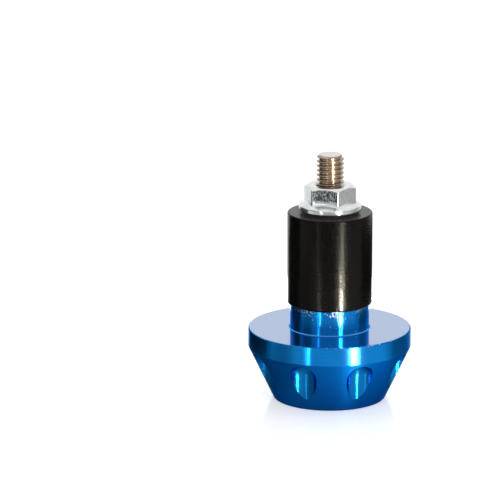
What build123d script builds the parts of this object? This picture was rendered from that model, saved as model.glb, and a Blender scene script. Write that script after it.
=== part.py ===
"""Bar end weight that plugs into the open end of a motorcycle handlebar.

A turned aluminium head covers the end of the bar.  A cap screw in the head's dish runs through a
rubber sleeve into a flange nut, and draws the nut in so that the sleeve swells and grips the bar.

Millimetres.  +Z points into the handlebar.  The origin is the centre of the head's seat face,
which meets the end of the bar.
"""
import math
import os

from build123d import *

# Head, outside
FLANGE_DIA = 35.0  # straight band, the widest part
BAND_HEIGHT = 4.0
HEAD_HEIGHT = 15.5  # outer rim to seat face
RIM_DIA = 24.0  # small end of the cone
RIM_EDGE_BREAK = 0.3  # bevel between the rim and the cone
SEAT_EDGE_CHAMFER = 0.25  # between the seat face and the band

# Head, spigot that centres it in the bar
SPIGOT_DIA = 17.0
SPIGOT_HEIGHT = 5.5
SPIGOT_CHAMFER = 0.3
SPIGOT_FOOT_BEVEL = 0.25

# Head, dish round the screw head
RIM_LAND = 0.6  # flat ring left between the rim's bevel and the dish
DISH_DEPTH = 8.6
DISH_FLOOR_DIA = 14.0

# Head, milled scallops
SCALLOP_COUNT = 8
SCALLOP_CUTTER_DIA = 6.0  # ball-nosed cutter, fed parallel to the axis
SCALLOP_DEPTH = 4.2  # from the band's surface to the bottom of the cut
SCALLOP_STOP = 0.4  # left between the end of the cut and the band
BALL_LEAN = 50.0  # degrees, outward lean of the cutter ball's seam

# Clamp screw
SCREW_DIA = 6.0
SCREW_BEYOND_NUT = 6.6  # thread that stands out of the nut with the sleeve unsqueezed
SCREW_TIP_CHAMFER = 0.6
SCREW_HEAD_DIA = 10.0
SCREW_HEAD_HEIGHT = 6.0
SCREW_HEAD_CHAMFER = 0.6
SOCKET_POINT_DIA = 5.6  # across the points of the six-lobe socket
SOCKET_VALLEY_DIA = 4.05
SOCKET_LOBE_RADIUS = 0.45
SOCKET_LOBES = 6
SOCKET_DEPTH = 3.0
SCREW_CLEARANCE = 0.5  # round the screw, in the head and in the sleeve
THREAD_CLEARANCE = 0.05  # round the screw, in the nut

# Expander sleeve
SLEEVE_DIA = 18.3
SLEEVE_LENGTH = 20.0
SLEEVE_EDGE_BEVEL = 0.4

# Flange nut
NUT_ACROSS_FLATS = 10.0
NUT_HEIGHT = 6.0
NUT_FLANGE_DIA = 13.5
NUT_BEARING_DIA = 12.3
NUT_UNDERCUT = 0.65  # height of the bevel under the flange
NUT_FLANGE_EDGE = 0.95  # height of the flange's upright edge
NUT_FLANGE_SLOPE = 27.0  # degrees, top of the flange
NUT_TOP_DIA = 9.4  # flat ring on top, inside the chamfered corners
NUT_CHAMFER_ANGLE = 30.0  # degrees, chamfer of the corners
NUT_BORE_CHAMFER = 0.4
NUT_TURN = -14.5  # degrees about Z, turn of the flat nearest the front

# Places along the axis and radii worked out from the sizes above
RIM_Z = -HEAD_HEIGHT
BAND_Z = -BAND_HEIGHT
FLOOR_Z = RIM_Z + DISH_DEPTH
SLEEVE_Z = SPIGOT_HEIGHT
NUT_Z = SLEEVE_Z + SLEEVE_LENGTH
TIP_Z = NUT_Z + NUT_HEIGHT + SCREW_BEYOND_NUT
FLANGE_R = FLANGE_DIA / 2
RIM_R = RIM_DIA / 2
SCREW_R = SCREW_DIA / 2
CLEARANCE_R = SCREW_R + SCREW_CLEARANCE


def turned(profile):
    """Solid of revolution about Z, from closed edges in the XZ plane."""
    return revolve(make_face(Plane.XZ * profile), Axis.Z)


def head_blank():
    """Head as it leaves the lathe."""
    cone_angle = math.atan2(FLANGE_R - RIM_R, HEAD_HEIGHT - BAND_HEIGHT)
    cone_foot = (
        RIM_R + RIM_EDGE_BREAK * math.sin(cone_angle),
        RIM_Z + RIM_EDGE_BREAK * math.cos(cone_angle),
    )
    spigot_r = SPIGOT_DIA / 2
    outline = Polyline(
        (RIM_R - RIM_EDGE_BREAK - RIM_LAND, RIM_Z),
        (RIM_R - RIM_EDGE_BREAK, RIM_Z),
        cone_foot,
        (FLANGE_R, BAND_Z),
        (FLANGE_R, -SEAT_EDGE_CHAMFER),
        (FLANGE_R - SEAT_EDGE_CHAMFER, 0),
        (spigot_r + SPIGOT_FOOT_BEVEL, 0),
        (spigot_r, SPIGOT_FOOT_BEVEL),
        (spigot_r, SPIGOT_HEIGHT - SPIGOT_CHAMFER),
        (spigot_r - SPIGOT_CHAMFER, SPIGOT_HEIGHT),
        (CLEARANCE_R, SPIGOT_HEIGHT),
        (CLEARANCE_R, FLOOR_Z),
        (DISH_FLOOR_DIA / 2, FLOOR_Z),
        close=True,
    )
    return turned(outline)


def scallop_cutter():
    """Ball-nosed cutter, standing on its path's centre line with its nose up."""
    radius = SCALLOP_CUTTER_DIA / 2
    nose_z = BAND_Z - SCALLOP_STOP
    centre_z = nose_z - radius
    shank_length = centre_z - RIM_Z + radius
    shank = Pos(0, 0, centre_z - shank_length / 2) * Cylinder(radius, shank_length)
    # The ball's poles lean out of the cut.
    return shank + Pos(0, 0, centre_z) * Rot(0, BALL_LEAN, 0) * Sphere(radius)


def bar_end_head():
    """Turned head with its ring of scallops, one of them each side of the front."""
    path_r = FLANGE_R - SCALLOP_DEPTH + SCALLOP_CUTTER_DIA / 2
    half_step = 180 / SCALLOP_COUNT
    places = PolarLocations(path_r, SCALLOP_COUNT, start_angle=-90 + half_step)
    return head_blank() - [place * scallop_cutter() for place in places]


def socket_outline():
    """Six-lobe socket: round points joined by tangent inward arcs."""
    step = 2 * math.pi / SOCKET_LOBES
    valley_r = SOCKET_VALLEY_DIA / 2
    lobe_ring = SOCKET_POINT_DIA / 2 - SOCKET_LOBE_RADIUS
    lean = lobe_ring * math.cos(step / 2)
    arc_r = (lobe_ring**2 + valley_r**2 - SOCKET_LOBE_RADIUS**2 - 2 * lean * valley_r) / (
        2 * (lean + SOCKET_LOBE_RADIUS - valley_r)
    )
    arc_ring = valley_r + arc_r

    def polar(radius, angle):
        return Vector(radius * math.cos(angle), radius * math.sin(angle))

    edges = []
    for index in range(SOCKET_LOBES):
        point = index * step
        lobe = polar(lobe_ring, point)
        to_before = (polar(arc_ring, point - step / 2) - lobe).normalized() * SOCKET_LOBE_RADIUS
        to_after = (polar(arc_ring, point + step / 2) - lobe).normalized() * SOCKET_LOBE_RADIUS
        next_lobe = polar(lobe_ring, point + step)
        to_next = (polar(arc_ring, point + step / 2) - next_lobe).normalized() * SOCKET_LOBE_RADIUS
        tip = polar(SOCKET_POINT_DIA / 2, point)
        valley = polar(valley_r, point + step / 2)
        edges.append(ThreePointArc(lobe + to_before, tip, lobe + to_after))
        edges.append(ThreePointArc(lobe + to_after, valley, next_lobe + to_next))
    return make_face(edges)


def clamp_screw():
    """Cap screw, head down on the dish's floor, its thread drawn as a plain shank."""
    face_z = FLOOR_Z - SCREW_HEAD_HEIGHT
    head_r = SCREW_HEAD_DIA / 2
    blank = turned(
        Polyline(
            (0, face_z),
            (head_r - SCREW_HEAD_CHAMFER, face_z),
            (head_r, face_z + SCREW_HEAD_CHAMFER),
            (head_r, FLOOR_Z),
            (SCREW_R, FLOOR_Z),
            (SCREW_R, TIP_Z - SCREW_TIP_CHAMFER),
            (SCREW_R - SCREW_TIP_CHAMFER, TIP_Z),
            (0, TIP_Z),
            close=True,
        )
    )
    return blank - extrude(Pos(0, 0, face_z) * socket_outline(), SOCKET_DEPTH)


def expander_sleeve():
    """Rubber sleeve between the spigot and the nut, its ends bevelled outside."""
    ring = Cylinder(SLEEVE_DIA / 2, SLEEVE_LENGTH) - Cylinder(CLEARANCE_R, SLEEVE_LENGTH)
    ends = ring.edges().filter_by(GeomType.CIRCLE).group_by(SortBy.RADIUS)[-1]
    return Pos(0, 0, SLEEVE_Z + SLEEVE_LENGTH / 2) * chamfer(ends, SLEEVE_EDGE_BEVEL)


def flange_nut():
    """Hexagon flange nut, flange down on the sleeve."""
    flat_r = NUT_ACROSS_FLATS / 2
    corner_r = flat_r / math.cos(math.pi / 6)
    flange_r = NUT_FLANGE_DIA / 2
    edge_top = NUT_UNDERCUT + NUT_FLANGE_EDGE
    neck_z = edge_top + (flange_r - flat_r) * math.tan(math.radians(NUT_FLANGE_SLOPE))
    corner_drop = (corner_r - NUT_TOP_DIA / 2) * math.tan(math.radians(NUT_CHAMFER_ANGLE))
    bore_r = SCREW_R + THREAD_CLEARANCE

    flange = turned(
        Polyline(
            (0, 0),
            (NUT_BEARING_DIA / 2, 0),
            (flange_r, NUT_UNDERCUT),
            (flange_r, edge_top),
            (flat_r, neck_z),
            (0, neck_z),
            close=True,
        )
    )
    corner_cone = turned(
        Polyline(
            (0, 0),
            (corner_r, 0),
            (corner_r, NUT_HEIGHT - corner_drop),
            (NUT_TOP_DIA / 2, NUT_HEIGHT),
            (0, NUT_HEIGHT),
            close=True,
        )
    )
    bore = turned(
        Polyline(
            (0, 0),
            (bore_r, 0),
            (bore_r, NUT_HEIGHT - NUT_BORE_CHAMFER),
            (bore_r + NUT_BORE_CHAMFER, NUT_HEIGHT),
            (0, NUT_HEIGHT),
            close=True,
        )
    )
    hexagon = extrude(RegularPolygon(flat_r, 6, major_radius=False, rotation=NUT_TURN), NUT_HEIGHT)
    return Pos(0, 0, NUT_Z) * (hexagon & corner_cone) + Pos(0, 0, NUT_Z) * flange - Pos(0, 0, NUT_Z) * bore


NODES = {
    "bar_end_head": bar_end_head,
    "clamp_screw": clamp_screw,
    "expander_sleeve": expander_sleeve,
    "flange_nut": flange_nut,
}

os.makedirs("parts", exist_ok=True)
for name, make in NODES.items():
    export_step(make(), f"parts/{name}.step")
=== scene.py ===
"""Looks of a handlebar end weight: fine meshes, finishes, a small studio and the camera.

Metres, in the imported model's frame: +Z into the handlebar, origin at the centre of the head's seat face.
"""
import math

import bpy
from mathutils import Matrix, Vector


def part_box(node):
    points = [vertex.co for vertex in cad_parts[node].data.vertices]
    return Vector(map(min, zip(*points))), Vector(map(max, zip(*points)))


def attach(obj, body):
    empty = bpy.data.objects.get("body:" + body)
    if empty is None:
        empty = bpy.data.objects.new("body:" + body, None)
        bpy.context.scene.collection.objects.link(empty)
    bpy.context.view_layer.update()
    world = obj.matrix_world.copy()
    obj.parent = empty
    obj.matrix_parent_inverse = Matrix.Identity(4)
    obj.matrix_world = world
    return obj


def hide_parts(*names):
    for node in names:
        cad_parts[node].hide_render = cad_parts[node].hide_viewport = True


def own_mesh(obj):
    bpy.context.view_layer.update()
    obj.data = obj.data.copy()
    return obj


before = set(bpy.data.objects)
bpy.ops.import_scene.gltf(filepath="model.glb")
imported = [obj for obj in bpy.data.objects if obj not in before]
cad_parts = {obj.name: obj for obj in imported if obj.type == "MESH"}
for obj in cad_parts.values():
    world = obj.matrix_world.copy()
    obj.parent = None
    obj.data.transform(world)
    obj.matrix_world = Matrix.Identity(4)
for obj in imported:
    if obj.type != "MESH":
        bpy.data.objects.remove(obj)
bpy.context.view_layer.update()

MM = 0.001

# Sizes that the frame gives
head_low, head_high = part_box("bar_end_head")
screw_low, screw_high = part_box("clamp_screw")
sleeve_low, sleeve_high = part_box("expander_sleeve")
nut_low, nut_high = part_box("flange_nut")
FLANGE_R = min(head_high.x, head_high.y, -head_low.x, -head_low.y)
RIM_Z = head_low.z
SPIGOT_TOP_Z = head_high.z
FACE_Z = screw_low.z
TIP_Z = screw_high.z
SCREW_HEAD_R = screw_high.x
SLEEVE_R = sleeve_high.x
NUT_FLANGE_R = nut_high.x

# Head
BAND_HEIGHT = 4.0 * MM
RIM_R = 12.0 * MM
RIM_ROUND = 0.45 * MM
RIM_LAND = 0.9 * MM
MOUTH_ROUND = 0.12 * MM
BAND_EDGE_ROUND = 0.12 * MM
SEAT_EDGE_ROUND = 0.25 * MM
SPIGOT_R = 8.5 * MM
SPIGOT_EDGE_ROUND = 0.3 * MM
SPIGOT_FOOT_ROUND = 0.32 * MM
DISH_DEPTH = 8.6 * MM
DISH_FLOOR_R = 7.0 * MM
DISH_FLOOR_ROUND = 0.3 * MM
SCALLOPS = 8
SCALLOP_R = 3.0 * MM
SCALLOP_DEPTH = 4.2 * MM
SCALLOP_STOP = 0.4 * MM
CLEARANCE_R = 3.5 * MM

# Screw
SHANK_R = 3.0 * MM
THREAD_R = 2.96 * MM
THREAD_ROOT_R = 2.39 * MM
THREAD_PITCH = 1.0 * MM
THREAD_LENGTH = 24.0 * MM
CREST_SHARE = 1 / 8
ROOT_SHARE = 1 / 4
TIP_CHAMFER = 0.6 * MM
SCREW_HEAD_HEIGHT = 6.0 * MM
SCREW_HEAD_ROUND = 0.7 * MM
SOCKET_POINT_R = 2.8 * MM
SOCKET_VALLEY_R = 2.025 * MM
SOCKET_LOBE_R = 0.45 * MM
SOCKET_LOBES = 6
SOCKET_DEPTH = 3.0 * MM
SOCKET_LEAD_IN = 0.12 * MM

# Sleeve
SLEEVE_EDGE_ROUND = 0.35 * MM

# Nut
NUT_SIDES = 6
NUT_FLAT_R = 5.0 * MM
NUT_CORNER_ROUND = 0.55 * MM
NUT_FOOT_ROUND = 0.5 * MM
NUT_BEARING_R = 6.15 * MM
NUT_UNDERCUT = 0.65 * MM
NUT_FLANGE_EDGE = 0.95 * MM
NUT_FLANGE_ROUND = 0.28 * MM
NUT_FLANGE_SLOPE = math.radians(27)
NUT_TOP_R = 4.7 * MM
NUT_CHAMFER_ANGLE = math.radians(30)
NUT_BORE_R = 3.05 * MM
NUT_BORE_CHAMFER = 0.4 * MM
NUT_TURN = math.radians(-14.5)

# Places worked out from the sizes above
BAND_Z = -BAND_HEIGHT
FLOOR_Z = RIM_Z + DISH_DEPTH
CUTTER_PATH_R = FLANGE_R - SCALLOP_DEPTH + SCALLOP_R
CUTTER_BALL_Z = BAND_Z - SCALLOP_STOP - SCALLOP_R
SCREW_SEAT_Z = FACE_Z + SCREW_HEAD_HEIGHT
NUT_SIDE_TURN = 2 * math.pi / NUT_SIDES
NUT_CORNER_CENTRE = (NUT_FLAT_R - NUT_CORNER_ROUND) / math.cos(NUT_SIDE_TURN / 2)
NUT_CORNER_SPAN = math.atan2(
    NUT_CORNER_ROUND * math.sin(NUT_SIDE_TURN / 2),
    NUT_CORNER_CENTRE + NUT_CORNER_ROUND * math.cos(NUT_SIDE_TURN / 2),
)

# Fineness of the meshes
TURNED_SEGMENTS = 288
CUTTER_SEGMENTS = 96
BALL_RINGS = 24
ROUND_STEPS = 6
SCREW_SEGMENTS = 96
THREAD_STEPS = 16
NUT_CORNER_STEPS = 6
NUT_FLAT_STEPS = 14
SECTION_DIGITS = 7

# Material slots of the head, and how level a face of the seat is
TURNED, MILLED, FACED, CONE = range(4)
LEVEL = 0.999

# Photograph: where the centre of the seat face falls, and the scale there
PHOTO_SIZE = 500
SEAT_PIXEL = Vector((329.5, 326.25))
PIXELS_PER_METRE = 4645
CAMERA_AZIMUTH = math.radians(-0.9)
CAMERA_ELEVATION = math.radians(14.5)
CAMERA_DISTANCE = 1.0
SENSOR_WIDTH = 36.0


# Meshes

def polar(radius, angle, z):
    return Vector((radius * math.cos(angle), radius * math.sin(angle), z))


def rounded(corners):
    """Closed outline of (r, z, round) corners as edges: (start, end, normal at start, normal at end).

    The solid lies to the left of the run, and each round is a tangent arc.
    """
    arcs = []
    for index, (r, z, radius) in enumerate(corners):
        here = Vector((r, z))
        into = (here - Vector(corners[index - 1][:2])).normalized()
        out = (Vector(corners[(index + 1) % len(corners)][:2]) - here).normalized()
        side = math.copysign(1, into.x * out.y - into.y * out.x)
        turn = into.angle(out)
        start = here - into * radius * math.tan(turn / 2)
        centre = start + Vector((-into.y, into.x)) * side * radius
        arc = []
        for step in range(ROUND_STEPS + 1 if radius else 1):
            spoke = Matrix.Rotation(side * turn * step / ROUND_STEPS, 2) @ (start - centre)
            arc.append((centre + spoke, spoke.normalized() * side))
        arcs.append(arc)
    edges = []
    for index, arc in enumerate(arcs):
        for (start, normal_start), (end, normal_end) in zip(arc, arc[1:]):
            edges.append((start, end, normal_start, normal_end))
        start = arc[-1][0]
        end = arcs[(index + 1) % len(arcs)][0][0]
        along = (end - start).normalized()
        normal = Vector((along.y, -along.x))
        edges.append((start, end, normal, normal))
    return edges


def strip(rings, closed, first=0):
    """Faces between rings of equal length, which run up a solid's outside.

    A run that isn't closed gets a cap at each end.
    """
    count = len(rings[0])

    def corner(ring, segment):
        return first + ring % len(rings) * count + segment % count

    faces = []
    for ring in range(len(rings) if closed else len(rings) - 1):
        for segment in range(count):
            face = (
                corner(ring, segment),
                corner(ring, segment + 1),
                corner(ring + 1, segment + 1),
                corner(ring + 1, segment),
            )
            faces.append(face)
    if not closed:
        faces.append([corner(0, segment) for segment in reversed(range(count))])
        faces.append([corner(len(rings) - 1, segment) for segment in range(count)])
    return faces


def add_mesh(name, verts, faces):
    """Object of a mesh with smooth faces."""
    mesh = bpy.data.meshes.new(name)
    mesh.from_pydata(verts, [], faces)
    mesh.polygons.foreach_set("use_smooth", [True] * len(mesh.polygons))
    mesh.update()
    obj = bpy.data.objects.new(name, mesh)
    bpy.context.scene.collection.objects.link(obj)
    return obj


def skin(name, rings, closed):
    """Solid skinned over (points, sharp) rings, with sharp edges along the rings that are marked so."""
    points = [ring for ring, _ in rings]
    count = len(points[0])
    obj = add_mesh(name, [point for ring in points for point in ring], strip(points, closed))
    for edge in obj.data.edges:
        ring_a, ring_b = (vertex // count for vertex in edge.vertices)
        edge.use_edge_sharp = ring_a == ring_b and rings[ring_a][1]
    return obj


def circle(radius, z, angles, sharp=True):
    return [polar(radius, angle, z) for angle in angles], sharp


def even_angles(count):
    return [2 * math.pi * index / count for index in range(count)]


def lathe(name, edges):
    """Ring-shaped solid of revolution."""
    angles = even_angles(TURNED_SEGMENTS)
    return skin(name, [circle(start.x, start.y, angles) for start, *_ in edges], closed=True)


def turned_normal(edges, middle):
    """Function from a point to the section's normal there, on the edge nearest its face's middle."""

    def distance(edge):
        start, end = edge[:2]
        share = (middle - start).dot(end - start) / (end - start).length_squared
        return (start.lerp(end, min(max(share, 0), 1)) - middle).length

    start, end, normal_start, normal_end = min(edges, key=distance)

    def normal(point):
        share = (point - start).dot(end - start) / (end - start).length_squared
        return normal_start.lerp(normal_end, min(max(share, 0), 1))

    return normal


def section_of(point):
    return Vector((math.hypot(point.x, point.y), point.z))


def set_turned_normals(mesh, edges, milled_normal=None):
    """Exact normals of a turned solid, and of the faces that a cutter left in it."""
    normals = [None] * len(mesh.loops)
    known = {}
    for face in mesh.polygons:
        corners = [mesh.vertices[vertex].co for vertex in face.vertices]
        middle = section_of(sum(corners, Vector()) / len(corners))
        key = (round(middle.x, SECTION_DIGITS), round(middle.y, SECTION_DIGITS))
        if face.material_index != MILLED and key not in known:
            known[key] = turned_normal(edges, middle)
        for loop, point in zip(face.loop_indices, corners):
            if face.material_index == MILLED:
                normals[loop] = milled_normal(point)
            else:
                outwards, up = known[key](section_of(point))
                normals[loop] = polar(outwards, math.atan2(point.y, point.x), up).normalized()
    mesh.normals_split_custom_set(normals)


# Head

def scallop_angle(index):
    """Scallops lie either side of the front, which faces -Y."""
    return 2 * math.pi * (index + 0.5) / SCALLOPS - math.pi / 2


def cutters():
    """Ball-nosed cutters on their paths, as one mesh."""
    verts, faces = [], []
    for index in range(SCALLOPS):
        centre = polar(CUTTER_PATH_R, scallop_angle(index), 0)
        levels = [(SCALLOP_R, RIM_Z - SCALLOP_R)]
        for ring in range(BALL_RINGS):
            rise = math.pi / 2 * ring / BALL_RINGS
            levels.append((SCALLOP_R * math.cos(rise), CUTTER_BALL_Z + SCALLOP_R * math.sin(rise)))
        rings = []
        for radius, z in levels:
            points, _ = circle(radius, z, even_angles(CUTTER_SEGMENTS))
            rings.append([centre + point for point in points])
        faces += strip(rings, closed=False, first=len(verts))
        verts += [point for ring in rings for point in ring]
    return add_mesh("cutters", verts, faces)


def milled_normal(point):
    """Normal of the scallop's wall, which faces its cutter's centre line or ball centre."""
    turn = 2 * math.pi / SCALLOPS
    index = round((math.atan2(point.y, point.x) - scallop_angle(0)) / turn)
    return (polar(CUTTER_PATH_R, scallop_angle(index), min(point.z, CUTTER_BALL_Z)) - point).normalized()


def make_head():
    """Turned blank with the scallops cut out of it."""
    edges = rounded(
        [
            (RIM_R - RIM_LAND, RIM_Z, MOUTH_ROUND),
            (RIM_R, RIM_Z, RIM_ROUND),
            (FLANGE_R, BAND_Z, BAND_EDGE_ROUND),
            (FLANGE_R, 0, SEAT_EDGE_ROUND),
            (SPIGOT_R, 0, SPIGOT_FOOT_ROUND),
            (SPIGOT_R, SPIGOT_TOP_Z, SPIGOT_EDGE_ROUND),
            (CLEARANCE_R, SPIGOT_TOP_Z, 0),
            (CLEARANCE_R, FLOOR_Z, 0),
            (DISH_FLOOR_R, FLOOR_Z, DISH_FLOOR_ROUND),
        ]
    )
    blank = lathe("head_blank", edges)
    tools = cutters()
    for obj in (blank, tools):
        for name in ("turned", "milled_painted_shade"):
            obj.data.materials.append(bpy.data.materials.get(name) or bpy.data.materials.new(name))
    tools.data.polygons.foreach_set("material_index", [MILLED] * len(tools.data.polygons))
    cut = blank.modifiers.new("cut", "BOOLEAN")
    cut.operation = "DIFFERENCE"
    cut.solver = "EXACT"
    cut.object = tools
    evaluated = blank.evaluated_get(bpy.context.evaluated_depsgraph_get())
    mesh = bpy.data.meshes.new_from_object(evaluated)
    mesh.name = "head"
    head = bpy.data.objects.new("head", mesh)
    bpy.context.scene.collection.objects.link(head)
    for obj in (blank, tools):
        bpy.data.objects.remove(obj)
    set_turned_normals(mesh, edges, milled_normal)
    for face in mesh.polygons:
        outwards = face.normal.x * face.center.x + face.normal.y * face.center.y
        below_band = RIM_Z < face.center.z < BAND_Z - BAND_EDGE_ROUND
        if face.normal.z > LEVEL and abs(face.center.z) < SEAT_EDGE_ROUND:
            face.material_index = FACED
        # Faces of the cone below the band take the cone finish, whose darker blue is painted shade.
        elif face.material_index == TURNED and outwards > 0 and below_band:
            face.material_index = CONE
    return head


# Sleeve

def make_sleeve():
    """Plain ring with rounded outer edges."""
    edges = rounded(
        [
            (CLEARANCE_R, sleeve_low.z, 0),
            (SLEEVE_R, sleeve_low.z, SLEEVE_EDGE_ROUND),
            (SLEEVE_R, sleeve_high.z, SLEEVE_EDGE_ROUND),
            (CLEARANCE_R, sleeve_high.z, 0),
        ]
    )
    sleeve = lathe("sleeve", edges)
    set_turned_normals(sleeve.data, edges)
    return sleeve


# Nut

def hexagon_radius(angle):
    """Radius of the nut's rounded hexagon; a corner points along NUT_TURN."""
    half = NUT_SIDE_TURN / 2
    from_corner = abs((angle - NUT_TURN + half) % NUT_SIDE_TURN - half)
    if from_corner >= NUT_CORNER_SPAN:
        return NUT_FLAT_R / math.cos(half - from_corner)
    return NUT_CORNER_CENTRE * math.cos(from_corner) + math.sqrt(
        NUT_CORNER_ROUND**2 - (NUT_CORNER_CENTRE * math.sin(from_corner)) ** 2
    )


def nut_angles():
    """Angles round the nut, close together at its corners."""
    angles = []
    flat = NUT_SIDE_TURN - 2 * NUT_CORNER_SPAN
    for side in range(NUT_SIDES):
        corner = NUT_TURN + side * NUT_SIDE_TURN
        for step in range(NUT_CORNER_STEPS):
            angles.append(corner + NUT_CORNER_SPAN * (2 * step / NUT_CORNER_STEPS - 1))
        for step in range(NUT_FLAT_STEPS):
            angles.append(corner + NUT_CORNER_SPAN + flat * step / NUT_FLAT_STEPS)
    return angles


def make_nut():
    """Flange nut, from its bearing face up to the chamfered hexagon and down its bore."""
    angles = nut_angles()
    bottom, top = nut_low.z, nut_high.z
    edge_top = bottom + NUT_UNDERCUT + NUT_FLANGE_EDGE
    flange = rounded(
        [
            (NUT_BORE_R, bottom, 0),
            (NUT_BEARING_R, bottom, 0),
            (NUT_FLANGE_R, bottom + NUT_UNDERCUT, NUT_FLANGE_ROUND),
            (NUT_FLANGE_R, edge_top, NUT_FLANGE_ROUND),
            (NUT_BORE_R, edge_top + (NUT_FLANGE_R - NUT_BORE_R) * math.tan(NUT_FLANGE_SLOPE), 0),
        ]
    )
    rim_r = NUT_FLANGE_R - NUT_FLANGE_ROUND
    rings = [circle(start.x, start.y, angles, start.x < rim_r) for start, *_ in flange[:-1]]
    feet = [[] for _ in range(ROUND_STEPS + 1)]
    shoulder = []
    foot_turn = math.pi / 2 - NUT_FLANGE_SLOPE
    for angle in angles:
        radius = hexagon_radius(angle)
        corner = Vector((radius, edge_top + (NUT_FLANGE_R - radius) * math.tan(NUT_FLANGE_SLOPE)))
        start = corner + NUT_FOOT_ROUND * math.tan(foot_turn / 2) * Vector((0, 1))
        centre = start + Vector((NUT_FOOT_ROUND, 0))
        for step, ring in enumerate(feet):
            turn = foot_turn * (1 - step / ROUND_STEPS)
            r, z = centre - NUT_FOOT_ROUND * Vector((math.cos(turn), math.sin(turn)))
            ring.append(polar(r, angle, z))
        shoulder.append(polar(radius, angle, top - (radius - NUT_TOP_R) * math.tan(NUT_CHAMFER_ANGLE)))
    rings += [(foot, False) for foot in feet]
    rings += [
        (shoulder, True),
        circle(NUT_TOP_R, top, angles),
        circle(NUT_BORE_R + NUT_BORE_CHAMFER, top, angles),
        circle(NUT_BORE_R, top - NUT_BORE_CHAMFER, angles),
    ]
    return skin("nut", rings, closed=True)


# Screw

def thread_radius(angle, z):
    """Right-hand thread, cut down to a cone at the tip."""
    phase = (z - TIP_Z) / THREAD_PITCH - angle / (2 * math.pi)
    from_crest = abs(phase - round(phase))
    flank_share = (1 - CREST_SHARE - ROOT_SHARE) / 2
    depth = (from_crest - CREST_SHARE / 2) / flank_share
    radius = THREAD_R + (THREAD_ROOT_R - THREAD_R) * min(max(depth, 0), 1)
    return min(radius, SHANK_R - TIP_CHAMFER + TIP_Z - z)


def socket_radius(angle):
    """Six-lobe socket: round points joined by tangent inward arcs."""
    half = math.pi / SOCKET_LOBES
    from_point = abs((angle + half) % (2 * half) - half)
    lobe_ring = SOCKET_POINT_R - SOCKET_LOBE_R
    lean = lobe_ring * math.cos(half)
    arc_r = (lobe_ring**2 + SOCKET_VALLEY_R**2 - SOCKET_LOBE_R**2 - 2 * lean * SOCKET_VALLEY_R) / (
        2 * (lean + SOCKET_LOBE_R - SOCKET_VALLEY_R)
    )
    arc_ring = SOCKET_VALLEY_R + arc_r
    # The two arcs touch on the line between their centres.
    lobe = Vector((lobe_ring, 0))
    arc = Vector((arc_ring * math.cos(half), arc_ring * math.sin(half)))
    touch = lobe + (arc - lobe).normalized() * SOCKET_LOBE_R
    if from_point < math.atan2(touch.y, touch.x):
        return lobe_ring * math.cos(from_point) + math.sqrt(
            SOCKET_LOBE_R**2 - (lobe_ring * math.sin(from_point)) ** 2
        )
    from_valley = half - from_point
    return arc_ring * math.cos(from_valley) - math.sqrt(arc_r**2 - (arc_ring * math.sin(from_valley)) ** 2)


def make_screw():
    """Cap screw, from the bottom of its socket, round its head and up the thread to the tip."""
    angles = even_angles(SCREW_SEGMENTS)

    def socket(z, wider=0):
        return [polar(socket_radius(angle) + wider, angle, z) for angle in angles], True

    rings = [
        socket(FACE_Z + SOCKET_DEPTH),
        socket(FACE_Z + SOCKET_LEAD_IN),
        socket(FACE_Z, SOCKET_LEAD_IN),
    ]
    for step in range(ROUND_STEPS + 1):
        turn = math.pi / 2 * step / ROUND_STEPS
        inset = SCREW_HEAD_ROUND * (1 - math.sin(turn))
        rise = SCREW_HEAD_ROUND * (1 - math.cos(turn))
        rings.append(circle(SCREW_HEAD_R - inset, FACE_Z + rise, angles, step in (0, ROUND_STEPS)))
    thread_z = TIP_Z - THREAD_LENGTH
    rings += [
        circle(SCREW_HEAD_R, SCREW_SEAT_Z, angles),
        circle(SHANK_R, SCREW_SEAT_Z, angles),
        circle(SHANK_R, thread_z, angles),
    ]
    count = round(THREAD_LENGTH / THREAD_PITCH * THREAD_STEPS)
    for step in range(count + 1):
        z = thread_z + THREAD_LENGTH * step / count
        rings.append(([polar(thread_radius(angle, z), angle, z) for angle in angles], step in (0, count)))
    return skin("screw", rings, closed=False)


# Finishes: colours are linear, scales are per metre, and most pairs are the two ends of a span

USUAL_NOISE = (0.3, 0.7)

# Anodised head: tool marks, as how quick they are round the axis and along a section
COARSE_MARKS = (120, 2500)
FINE_MARKS = (300, 14000)
MARK_DEPTH = 0.02 * MM
TANGENT_TURN = 0.25
COAT_IOR = 1.9
COAT_ROUGHNESS = 0.2
BLUE_EDGE = (0.15, 0.5, 0.9, 1)
WHITE_EDGE = (1, 1, 1, 1)

# Wear of the head: bare specks near the spigot's end and on the seat edge; and a painted highlight, a paler
# ring on the spigot's foot
SPECK_SCALE = 3600
PATCH_SCALE = 260
SPIGOT_WEAR = 0.27
SPIGOT_WEAR_DEPTH = 2.5 * MM
SEAT_EDGE_WEAR = 0.22
SEAT_EDGE_WEAR_Z = (-0.32 * MM, -0.08 * MM)
BARE_FROM = (0.78, 0.81)
BARE_COLOUR = (0.85, 0.97, 1.0, 1)
BARE_HEIGHT = 0.2
BARE_ROUGHNESS = 0.3
# Painted highlight: the colour of the paler ring painted on the spigot's foot fillet
FOOT_PAINTED_HIGHLIGHT_COLOUR = (0.16, 0.50, 0.80, 1)
FOOT_HIGHLIGHT_REACH = (0.03 * MM, 0.12 * MM)
FOOT_HIGHLIGHT_Z = -0.001 * MM

# Rubber
RUBBER_SIDE = ((0.0014, 0.0013, 0.0012), (0.0032, 0.0030, 0.0027))
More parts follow.
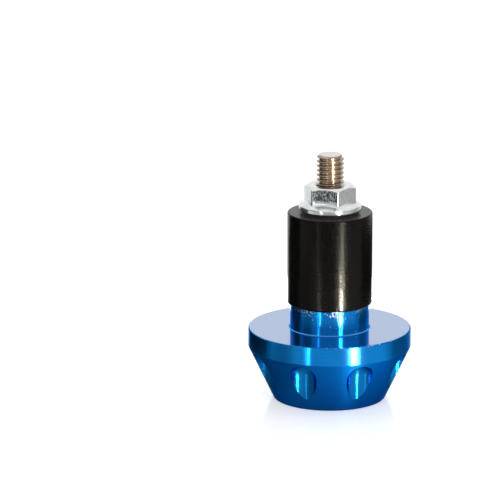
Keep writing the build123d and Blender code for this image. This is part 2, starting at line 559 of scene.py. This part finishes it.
# Painted sheen: the flat ends are painted paler than the sides.
RUBBER_END_PAINTED_SHEEN = ((0.030, 0.027, 0.026), (0.048, 0.044, 0.042))
RUBBER_SHEEN_FACING = (0.9, 0.99)
RUBBER_MOTTLE_SCALE = 700
RUBBER_GRAIN_SCALE = 3200
RUBBER_ROUGHNESS = (0.08, 0.27)
RUBBER_PIT_SCALE = 2500
RUBBER_PIT_STRENGTH = 0.7
RUBBER_PIT_DEPTH = 0.04 * MM
RUBBER_GLOSS = 0.12
RUBBER_GLOSS_TINT = (1.0, 0.96, 0.84, 1.0)

# Zinc
ZINC_COLOURS = ((0.68, 0.71, 0.71), (0.82, 0.84, 0.84))
ZINC_CLOUD_SCALE = 1500
ZINC_ROUGHNESS = (0.15, 0.24)
SCRATCH_SCALES = (5500, 5500, 1900)
SCRATCH_LEAN = math.radians(25)
SCRATCH_STRENGTH = 0.12
SCRATCH_DEPTH = 0.02 * MM
SCUFF_COLOUR = (0.02, 0.042, 0.038, 1)
SCUFF_FROM = (0.38, 0.52)
SCUFF_FACING = (0.95, 0.995)
SCUFF_RISE = (2.6 * MM, 3.6 * MM)
NEXT_FLAT_SCUFF = 0.3

# Plated steel
PLATE_COLOURS = ((0.36, 0.275, 0.20), (0.50, 0.405, 0.315))
PLATE_GRAIN_SCALE = 3000
PLATE_ROUGHNESS = (0.15, 0.22)
PLATE_GRAIN_STRENGTH = 0.08
PLATE_GRAIN_DEPTH = 0.02 * MM
TIP_COLOUR = (0.70, 0.655, 0.63, 1)
TIP_FACE_DEPTH = (0.08 * MM, 0.02 * MM)
SCREW_HEAD_COLOUR = (0.72, 0.57, 0.45, 1)
# Painted shade: the inside of the socket is painted darker than the head.
SOCKET_PAINTED_SHADE_COLOUR = (0.36, 0.26, 0.14, 1)


class Nodes:
    """Node tree of a material or world.

    It is built by adding nodes whose inputs are values or other nodes' outputs.
    """

    def __init__(self, owner):
        owner.use_nodes = True
        self.owner = owner
        self.tree = owner.node_tree
        self.tree.nodes.clear()

    def add(self, kind, inputs=None, **settings):
        node = self.tree.nodes.new("ShaderNode" + kind)
        for name, value in settings.items():
            setattr(node, name, value)
        for name, value in (inputs or {}).items():
            socket = node.inputs[name]
            if isinstance(name, str):
                socket = next(s for s in node.inputs if s.name == name and s.enabled)
            if isinstance(value, bpy.types.NodeSocket):
                self.tree.links.new(value, socket)
            else:
                socket.default_value = value
        return node

    def math(self, operation, first, second=0.0):
        return self.add("Math", {0: first, 1: second}, operation=operation).outputs[0]

    def dot(self, first, second):
        return self.add("VectorMath", {0: first, 1: second}, operation="DOT_PRODUCT").outputs["Value"]

    def ramp(self, value, span, low, high):
        """Value that goes smoothly from low to high as another crosses a span."""
        inputs = {"Value": value, "From Min": span[0], "From Max": span[1], "To Min": low, "To Max": high}
        return self.add("MapRange", inputs, interpolation_type="SMOOTHSTEP").outputs[0]

    def between(self, value, low, high, span=USUAL_NOISE):
        """Value that goes evenly from low to high as a noise crosses a span."""
        inputs = {"Value": value, "From Min": span[0], "From Max": span[1], "To Min": low, "To Max": high}
        return self.add("MapRange", inputs).outputs[0]

    def place(self):
        """Object coordinates, which are the frame's."""
        return self.add("TexCoord").outputs["Object"]

    def normal(self):
        return self.add("TexCoord").outputs["Normal"]

    def height(self):
        """Place along the axis."""
        return self.add("SeparateXYZ", {0: self.place()}).outputs[2]

    def radius(self):
        """Distance from the axis."""
        x, y, _ = self.add("SeparateXYZ", {0: self.place()}).outputs
        return self.math("SQRT", self.math("ADD", self.math("MULTIPLY", x, x), self.math("MULTIPLY", y, y)))

    def stretched(self, across, along):
        """Coordinates for marks left by turning: slow round the axis, quick along a section."""
        x, y, z = self.add("SeparateXYZ", {0: self.place()}).outputs
        ring = self.math("MULTIPLY", self.math("ADD", self.radius(), z), along)
        slow_x = self.math("MULTIPLY", x, across)
        slow_y = self.math("MULTIPLY", y, across)
        return self.add("CombineXYZ", {0: slow_x, 1: slow_y, 2: ring}).outputs[0]

    def noise(self, vector, scale=1.0, detail=2.0, roughness=0.5):
        inputs = {"Vector": vector, "Scale": scale, "Detail": detail, "Roughness": roughness}
        return self.add("TexNoise", inputs).outputs["Fac"]

    def mix(self, factor, first, second):
        """Colour between two others."""
        mixed = self.add("Mix", {"Factor": factor, "A": first, "B": second}, data_type="RGBA")
        return next(s for s in mixed.outputs if s.enabled)

    def tint(self, noise, colours):
        """Colour that goes from one to another with a noise."""
        low, high = colours
        return self.mix(self.between(noise, 0, 1), (*low, 1), (*high, 1))

    def bump(self, height, strength, distance):
        inputs = {"Height": height, "Strength": strength, "Distance": distance}
        return self.add("Bump", inputs).outputs[0]

    def surface(self, **inputs):
        """Principled surface; an input's name is written with underscores."""
        named = {name.replace("_", " "): value for name, value in inputs.items()}
        return self.show(self.add("BsdfPrincipled", named))

    def show(self, shader):
        kind = "OutputWorld" if isinstance(self.owner, bpy.types.World) else "OutputMaterial"
        self.add(kind, {"Surface": shader.outputs[0]})
        return self.owner


def bare_specks(finish):
    """Share of bare metal, in patches of specks near the spigot's end and on the seat edge."""
    specks = finish.noise(finish.place(), scale=SPECK_SCALE, detail=1)
    patches = finish.noise(finish.place(), scale=PATCH_SCALE, detail=1)
    height = finish.height()
    near_end = finish.ramp(height, (SPIGOT_TOP_Z - SPIGOT_WEAR_DEPTH, SPIGOT_TOP_Z), 0, SPIGOT_WEAR)
    up_edge = finish.ramp(height, SEAT_EDGE_WEAR_Z, 0, SEAT_EDGE_WEAR)
    off_spigot = finish.math("GREATER_THAN", finish.radius(), SPIGOT_R + SPIGOT_FOOT_ROUND)
    exposed = finish.math("MAXIMUM", near_end, finish.math("MULTIPLY", up_edge, off_spigot))
    rubbed = finish.math("ADD", finish.math("MULTIPLY", finish.between(patches, 0, 1), exposed), specks)
    above_band = finish.math("GREATER_THAN", height, SEAT_EDGE_WEAR_Z[0])
    return finish.math("MULTIPLY", finish.ramp(rubbed, BARE_FROM, 0, 1), above_band)


def painted_foot_highlight(finish):
    """Share of the painted highlight: a paler ring painted where the spigot runs into the seat face."""
    nearest, farthest = FOOT_HIGHLIGHT_REACH
    outside = finish.ramp(finish.radius(), (SPIGOT_R + nearest, SPIGOT_R + farthest), 0, 1)
    return finish.math("MULTIPLY", outside, finish.math("GREATER_THAN", finish.height(), FOOT_HIGHLIGHT_Z))


def anodised(
    name,
    colours,
    roughness,
    uneven,
    anisotropy,
    marks,
    coat,
    coat_roughness=COAT_ROUGHNESS,
    edge=BLUE_EDGE,
    worn_and_foot_highlight=False,
):
    """Blue anodised aluminium between two colours, with the fine rings that the cutting tool left."""
    finish = Nodes(bpy.data.materials.get(name) or bpy.data.materials.new(name))
    coarse = finish.noise(finish.stretched(*COARSE_MARKS), detail=3)
    fine = finish.noise(finish.stretched(*FINE_MARKS), detail=2)
    tangent = finish.add("Tangent", direction_type="RADIAL", axis="Z").outputs[0]
    colour = finish.tint(coarse, colours)
    relief = finish.math("MULTIPLY", fine, marks)
    rough = finish.between(fine, roughness * (1 - uneven), roughness * (1 + uneven))
    if worn_and_foot_highlight:
        bare = bare_specks(finish)
        # Painted highlight: the spigot's foot is painted a paler blue.
        colour = finish.mix(painted_foot_highlight(finish), colour, FOOT_PAINTED_HIGHLIGHT_COLOUR)
        colour = finish.mix(bare, colour, BARE_COLOUR)
        relief = finish.math("ADD", relief, finish.math("MULTIPLY", bare, BARE_HEIGHT))
        rough = finish.math("ADD", rough, finish.math("MULTIPLY", bare, BARE_ROUGHNESS))
    return finish.surface(
        Base_Color=colour,
        Specular_Tint=edge,
        Metallic=1.0,
        Roughness=rough,
        Normal=finish.bump(relief, 1.0, MARK_DEPTH),
        Anisotropic=anisotropy,
        Anisotropic_Rotation=TANGENT_TURN,
        Tangent=tangent,
        Coat_Weight=coat,
        Coat_Roughness=coat_roughness,
        Coat_IOR=COAT_IOR,
    )


def rubber():
    """Black rubber with a fine grain; its flat ends are painted paler, as a painted sheen."""
    finish = Nodes(bpy.data.materials.new("rubber"))
    grain = finish.noise(finish.place(), scale=RUBBER_GRAIN_SCALE, detail=1, roughness=0.6)
    pits = finish.noise(finish.place(), scale=RUBBER_PIT_SCALE, detail=0)
    mottle = finish.noise(finish.place(), scale=RUBBER_MOTTLE_SCALE, detail=3)
    endwise = finish.add("SeparateXYZ", {0: finish.normal()}).outputs[2]
    painted_end_sheen = finish.ramp(finish.math("ABSOLUTE", endwise), RUBBER_SHEEN_FACING, 0, 1)
    return finish.surface(
        Base_Color=finish.mix(painted_end_sheen, finish.tint(mottle, RUBBER_SIDE), finish.tint(mottle, RUBBER_END_PAINTED_SHEEN)),
        Roughness=finish.between(grain, *RUBBER_ROUGHNESS),
        Specular_IOR_Level=RUBBER_GLOSS,
        Specular_Tint=RUBBER_GLOSS_TINT,
        Normal=finish.bump(pits, RUBBER_PIT_STRENGTH, RUBBER_PIT_DEPTH),
    )


def zinc():
    """Bright zinc plate; the flat that faces forward is scuffed dark, and the next one a little."""
    finish = Nodes(bpy.data.materials.new("zinc"))
    leaning = finish.add("Mapping", {"Vector": finish.place(), "Rotation": (0, SCRATCH_LEAN, 0)}).outputs[0]
    squeezed = finish.add("Mapping", {"Vector": leaning, "Scale": SCRATCH_SCALES}).outputs[0]
    scratches = finish.noise(squeezed, detail=3, roughness=0.6)
    cloud = finish.noise(finish.place(), scale=ZINC_CLOUD_SCALE, detail=4, roughness=0.6)

    def on_flat(sides_on, most):
        outwards = polar(1, NUT_TURN - math.pi / 2 + sides_on * NUT_SIDE_TURN, 0)
        return finish.ramp(finish.dot(finish.normal(), outwards), SCUFF_FACING, 0, most)

    lowest, full = SCUFF_RISE
    above_foot = finish.ramp(finish.height(), (nut_low.z + lowest, nut_low.z + full), 0, 1)
    on_front = finish.math("MULTIPLY", on_flat(0, 1), above_foot)
    flats = finish.math("ADD", on_front, on_flat(1, NEXT_FLAT_SCUFF))
    scuffed = finish.math("MULTIPLY", flats, finish.between(scratches, 0, 1, SCUFF_FROM))
    return finish.surface(
        Base_Color=finish.mix(scuffed, finish.tint(cloud, ZINC_COLOURS), SCUFF_COLOUR),
        Metallic=1.0,
        Roughness=finish.between(scratches, *ZINC_ROUGHNESS),
        Normal=finish.bump(scratches, SCRATCH_STRENGTH, SCRATCH_DEPTH),
    )


def plated_steel():
    """Yellow-brown plated screw; its head and the tip's cut face are paler, and the inside of its socket is
    painted darker, as painted shade.
    """
    finish = Nodes(bpy.data.materials.new("plated_steel"))
    grain = finish.noise(finish.place(), scale=PLATE_GRAIN_SCALE, detail=3)
    height = finish.height()
    starts, full = TIP_FACE_DEPTH
    on_tip = finish.ramp(height, (TIP_Z - starts, TIP_Z - full), 0, 1)
    on_head = finish.math("LESS_THAN", height, SCREW_SEAT_Z)
    past_lip = finish.math("GREATER_THAN", height, FACE_Z + SOCKET_LEAD_IN / 2)
    near_axis = finish.math("LESS_THAN", finish.radius(), SCREW_HEAD_R / 2)
    in_shaded_socket = finish.math("MULTIPLY", past_lip, near_axis)
    head_colour_and_socket_shade = finish.mix(in_shaded_socket, SCREW_HEAD_COLOUR, SOCKET_PAINTED_SHADE_COLOUR)
    plate = finish.mix(on_head, finish.tint(grain, PLATE_COLOURS), head_colour_and_socket_shade)
    return finish.surface(
        Base_Color=finish.mix(on_tip, plate, TIP_COLOUR),
        Metallic=1.0,
        Roughness=finish.between(grain, *PLATE_ROUGHNESS),
        Normal=finish.bump(grain, PLATE_GRAIN_STRENGTH, PLATE_GRAIN_DEPTH),
    )


# Pieces

def put_on(obj, body, node):
    """Make a piece ride on a body and stand for a CAD node."""
    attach(obj, body)
    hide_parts(node)


head = make_head()
anodised(
    "turned",
    colours=((0.004, 0.20, 0.60), (0.004, 0.23, 0.66)),
    roughness=0.21,
    uneven=0.15,
    anisotropy=0.9,
    marks=0.05,
    coat=0.03,
    worn_and_foot_highlight=True,
)
# Painted shade: the scallops get a darker blue than the turned faces, for the shade in their hollows; their
# roughness and marks are their own.
anodised(
    "milled_painted_shade",
    colours=((0.004, 0.17, 0.48), (0.004, 0.21, 0.56)),
    roughness=0.22,
    uneven=0.2,
    anisotropy=0.85,
    marks=0.06,
    coat=0.03,
)
# Painted reflection: the seat face gets a paler blue, for the white backdrop it mirrors at a low angle; its
# clear coat is its own.
faced_painted_reflection = anodised(
    "faced_painted_reflection",
    colours=((0.06, 0.19, 0.50), (0.06, 0.22, 0.55)),
    roughness=0.16,
    uneven=0.15,
    anisotropy=0.5,
    marks=0.04,
    coat=1.0,
    coat_roughness=0.05,
    edge=WHITE_EDGE,
)
# Painted shade: the cone gets a darker blue than the band, for the shaded table it mirrors near the foot;
# its rougher, uncoated finish is its own.
cone = anodised(
    "cone",
    colours=((0.003, 0.14, 0.48), (0.003, 0.16, 0.54)),
    roughness=0.36,
    uneven=0.1,
    anisotropy=0.7,
    marks=0.05,
    coat=0.0,
)
head.data.materials.append(faced_painted_reflection)
head.data.materials.append(cone)
sleeve = make_sleeve()
sleeve.data.materials.append(rubber())
nut = make_nut()
nut.data.materials.append(zinc())
screw = make_screw()
screw.data.materials.append(plated_steel())

put_on(head, "head", "bar_end_head")
put_on(sleeve, "head", "expander_sleeve")
put_on(nut, "nut", "flange_nut")
put_on(screw, "screw", "clamp_screw")
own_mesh(sleeve)


# Studio: what lies behind the object is white, and the room on the camera's side is dim.
# A pair of cosines says how near to a direction a part of the room starts, and how near it is full.

ROOM_LEVEL = 0.65
RIGHT_LEVEL = 0.35
BEHIND_COSINES = (0.4, 0.85)
RIGHT_COSINES = (0.3, 0.9)
CEILING_COSINES = (0.55, 0.85)
CEILING_ELEVATION = math.radians(75)

# Table: how white it is, and the dimmer parts of it that only the gloss sees
TABLE_SIZE = 6.0
TABLE_WHITE = 0.8
TABLE_DIM_WHITE = TABLE_WHITE * 0.38
TABLE_ROUGHNESS = 0.15
TABLE_GLOW = 0.5
TABLE_GLOSS_GLOW = 0.28
FRONT_SHADE_REACH = (0.08, 0.12)
LEFT_SHADE_REACH = (-0.002, 0.02)
LEFT_SHADE_R = (0.035, 0.06)
RIGHT_SHADE_REACH = (0.09, 0.15)
RIGHT_SHADE = 0.55
FOOT_SHADE_R = (RIM_R, 0.036)
FOOT_SHADE = 0.72
SIDE_SHADE_AZIMUTH = math.radians(104)
SIDE_SHADE_COSINES = (0.8, 0.98)
SIDE_SHADE_R = (0.1, 0.16)
SIDE_SHADE = 0.8

# Strip lamps on the table: the parts of it that the band, the spigot, the sleeve and the tip mirror, and
# a part behind the object
STRIP_RISE = 0.3 * MM
BAND_REACH = (0.058, 0.077)
SPIGOT_REACH = (0.077, 0.093)
SLEEVE_REACH = (0.093, 0.162)
RIGHT_TIP_REACH = (0.3, 0.5)
LEFT_TIP_REACH = (0.3, 0.55)
BACK_REACH = (0.04, 0.1)
WHITE = (1, 1, 1)
WARM = (1, 0.95, 0.88)
WARMER = (1, 0.95, 0.82)
TIP_WARM = (1, 0.95, 0.9)

CARD_COLOUR = (0.004, 0.004, 0.004, 1)
CARD_ROUGHNESS = 0.6


def towards(azimuth, elevation):
    """Direction from the object; azimuth 0 is the camera's side, and positive is the camera's right."""
    around = CAMERA_AZIMUTH + azimuth
    return Vector(
        (
            math.sin(around) * math.cos(elevation),
            -math.cos(around) * math.cos(elevation),
            math.sin(elevation),
        )
    )


def area_lamp(name, width, height, radiance, colour):
    """Rectangular lamp, not yet placed."""
    light = bpy.data.lights.new(name, "AREA")
    light.shape = "RECTANGLE"
    light.size = width
    light.size_y = height
    light.energy = radiance * math.pi * width * height
    light.color = colour
    lamp = bpy.data.objects.new(name, light)
    bpy.context.scene.collection.objects.link(lamp)
    return lamp


def softbox(name, azimuth, elevation, distance, width, height, radiance):
    """Rectangular white lamp that faces the object; angles in degrees."""
    lamp = area_lamp(name, width, height, radiance, WHITE)
    direction = towards(math.radians(azimuth), math.radians(elevation))
    lamp.location = direction * distance
    lamp.rotation_euler = direction.to_track_quat("Z", "Y").to_euler()


def table_strip(name, azimuth, reach, width, radiance, colour=WHITE):
    """Strip lamp lying on the table, which only the gloss sees; azimuth in degrees.

    Upright walls show it as an upright streak.
    """
    near, far = reach
    lamp = area_lamp(name, width, far - near, radiance, colour)
    outwards = towards(math.radians(azimuth), 0)
    down = Vector((0, 0, -1))
    lamp.location = outwards * (near + far) / 2 + Vector((0, 0, RIM_Z + STRIP_RISE))
    lamp.rotation_euler = Matrix((outwards.cross(down), outwards, down)).transposed().to_euler()
    lamp.visible_camera = False
    lamp.visible_diffuse = False


def dark_card(name, azimuth, distance, width, top_z):
    """Black card standing on the table, which only the gloss sees; azimuth in degrees."""
    middle = towards(math.radians(azimuth), 0) * distance
    across = towards(math.radians(azimuth) + math.pi / 2, 0) * width / 2
    low = middle + Vector((0, 0, RIM_Z))
    high = middle + Vector((0, 0, top_z))
    card = add_mesh(name, [low - across, low + across, high + across, high - across], [(0, 1, 2, 3)])
    nodes = Nodes(bpy.data.materials.new(name))
    card.data.materials.append(nodes.surface(Base_Color=CARD_COLOUR, Roughness=CARD_ROUGHNESS))
    card.visible_camera = False
    card.visible_diffuse = False
    card.visible_shadow = False


def backdrop():
    """White all round to the camera; to the object, white behind it and dim on the camera's side."""
    world = bpy.data.worlds.new("backdrop")
    bpy.context.scene.world = world
    nodes = Nodes(world)
    direction = nodes.add("TexCoord").outputs["Generated"]

    def dark_patch(azimuth, elevation, cosines, darker):
        middle = towards(math.radians(azimuth), math.radians(elevation))
        return nodes.ramp(nodes.dot(direction, middle), cosines, 0, darker)

    white_behind = nodes.ramp(nodes.dot(direction, -towards(0, 0)), BEHIND_COSINES, 0, 1)
    grey_right = nodes.ramp(nodes.dot(direction, towards(math.pi / 2, 0)), RIGHT_COSINES, 0, RIGHT_LEVEL)
    ceiling = nodes.dot(direction, -towards(0, -CEILING_ELEVATION))
    white_above = nodes.ramp(ceiling, CEILING_COSINES, ROOM_LEVEL, 1)
    dark_left = dark_patch(azimuth=-70, elevation=13, cosines=(0.93, 0.985), darker=0.5)
    dark_right = dark_patch(azimuth=112, elevation=13, cosines=(0.93, 0.985), darker=0.35)
    dark_back = dark_patch(azimuth=-116, elevation=16, cosines=(0.9455, 0.978), darker=0.6)
    darker = nodes.math("ADD", dark_back, nodes.math("ADD", dark_left, dark_right))
    room = nodes.math("SUBTRACT", white_above, darker)
    level = nodes.math("MAXIMUM", nodes.math("MAXIMUM", white_behind, grey_right), room)
    to_camera = nodes.add("LightPath").outputs["Is Camera Ray"]
    strength = nodes.math("MAXIMUM", level, to_camera)
    nodes.show(nodes.add("Background", {"Color": (*WHITE, 1), "Strength": strength}))


def table_shade(nodes):
    """Share of the table's dim white: in front, left, right, round the object's foot and on two sides."""

    def distance(azimuth):
        return nodes.dot(nodes.place(), towards(azimuth, 0))

    front = nodes.ramp(distance(0), FRONT_SHADE_REACH, 0, 1)
    beside = nodes.ramp(nodes.radius(), LEFT_SHADE_R, 1, 0)
    left = nodes.math("MULTIPLY", nodes.ramp(distance(-math.pi / 2), LEFT_SHADE_REACH, 0, 1), beside)
    right = nodes.ramp(distance(math.pi / 2), RIGHT_SHADE_REACH, 0, RIGHT_SHADE)
    foot = nodes.ramp(nodes.radius(), FOOT_SHADE_R, FOOT_SHADE, 0)
    cosine = nodes.math("DIVIDE", distance(SIDE_SHADE_AZIMUTH), nodes.radius())
    sideways = nodes.ramp(nodes.math("ABSOLUTE", cosine), SIDE_SHADE_COSINES, 0, SIDE_SHADE)
    sides = nodes.math("MULTIPLY", sideways, nodes.ramp(nodes.radius(), SIDE_SHADE_R, 1, 0))
    shade = front
    for part in (left, right, foot, sides):
        shade = nodes.math("MAXIMUM", shade, part)
    return shade


def floor():
    """White glossy table that the object stands on; the lit share of its white keeps the shadow."""
    half = TABLE_SIZE / 2
    corners = [(-half, -half, RIM_Z), (half, -half, RIM_Z), (half, half, RIM_Z), (-half, half, RIM_Z)]
    table = add_mesh("table", corners, [(0, 1, 2, 3)])
    nodes = Nodes(bpy.data.materials.new("table"))
    rays = nodes.add("LightPath").outputs

    def white(level):
        inputs = {"Base Color": (level, level, level, 1), "Roughness": TABLE_ROUGHNESS}
        return nodes.add("BsdfPrincipled", inputs).outputs[0]

    to_gloss = nodes.math("MULTIPLY", rays["Is Glossy Ray"], TABLE_GLOSS_GLOW)
    to_camera = nodes.math("MULTIPLY", rays["Is Camera Ray"], TABLE_GLOW)
    glow = nodes.add("Emission", {"Strength": nodes.math("MAXIMUM", to_camera, to_gloss)}).outputs[0]
    bright = nodes.add("AddShader", {0: white(TABLE_WHITE), 1: glow}).outputs[0]
    share = nodes.math("MULTIPLY", table_shade(nodes), rays["Is Glossy Ray"])
    nodes.show(nodes.add("MixShader", {0: share, 1: bright, 2: white(TABLE_DIM_WHITE)}))
    table.data.materials.append(nodes.owner)


backdrop()
floor()
dark_card("left_card", azimuth=-112, distance=0.044, width=0.045, top_z=0.01)
dark_card("far_left_card", azimuth=-112, distance=0.1, width=0.102, top_z=0.028)
dark_card("right_card", azimuth=125, distance=0.08, width=0.11, top_z=0.004)
softbox("right_softbox", azimuth=31.5, elevation=7.5, distance=0.6, width=0.08, height=0.17, radiance=30)
softbox("left_softbox", azimuth=-32.5, elevation=7.5, distance=0.6, width=0.03, height=0.17, radiance=10)
table_strip("right_band_strip", azimuth=30, reach=BAND_REACH, width=0.010, radiance=400, colour=WARM)
table_strip("right_spigot_strip", azimuth=29, reach=SPIGOT_REACH, width=0.004, radiance=1000, colour=WARM)
table_strip("right_far_strip", azimuth=34, reach=SLEEVE_REACH, width=0.005, radiance=36, colour=WARMER)
table_strip("right_tip_strip", azimuth=29, reach=RIGHT_TIP_REACH, width=0.008, radiance=1, colour=TIP_WARM)
table_strip("left_band_strip", azimuth=-26.5, reach=BAND_REACH, width=0.003, radiance=14)
table_strip("left_spigot_strip", azimuth=-27, reach=SPIGOT_REACH, width=0.004, radiance=30)
table_strip("left_tip_strip", azimuth=-34.5, reach=LEFT_TIP_REACH, width=0.012, radiance=22)
table_strip("back_right_strip", azimuth=163, reach=BACK_REACH, width=0.008, radiance=15)
table_strip("back_left_strip", azimuth=-163, reach=BACK_REACH, width=0.008, radiance=15)


# Camera

back = towards(0, CAMERA_ELEVATION)
right = Vector((math.cos(CAMERA_AZIMUTH), math.sin(CAMERA_AZIMUTH), 0))
up = back.cross(right)
offset = (SEAT_PIXEL - Vector((PHOTO_SIZE / 2, PHOTO_SIZE / 2))) / PIXELS_PER_METRE
camera_data = bpy.data.cameras.new("camera")
camera_data.sensor_width = SENSOR_WIDTH
camera_data.lens = PIXELS_PER_METRE * CAMERA_DISTANCE * SENSOR_WIDTH / PHOTO_SIZE
camera = bpy.data.objects.new("camera", camera_data)
camera.location = back * CAMERA_DISTANCE - right * offset.x + up * offset.y
camera.rotation_euler = back.to_track_quat("Z", "Y").to_euler()
bpy.context.scene.collection.objects.link(camera)
bpy.context.scene.camera = camera
bpy.context.scene.view_settings.view_transform = "Standard"
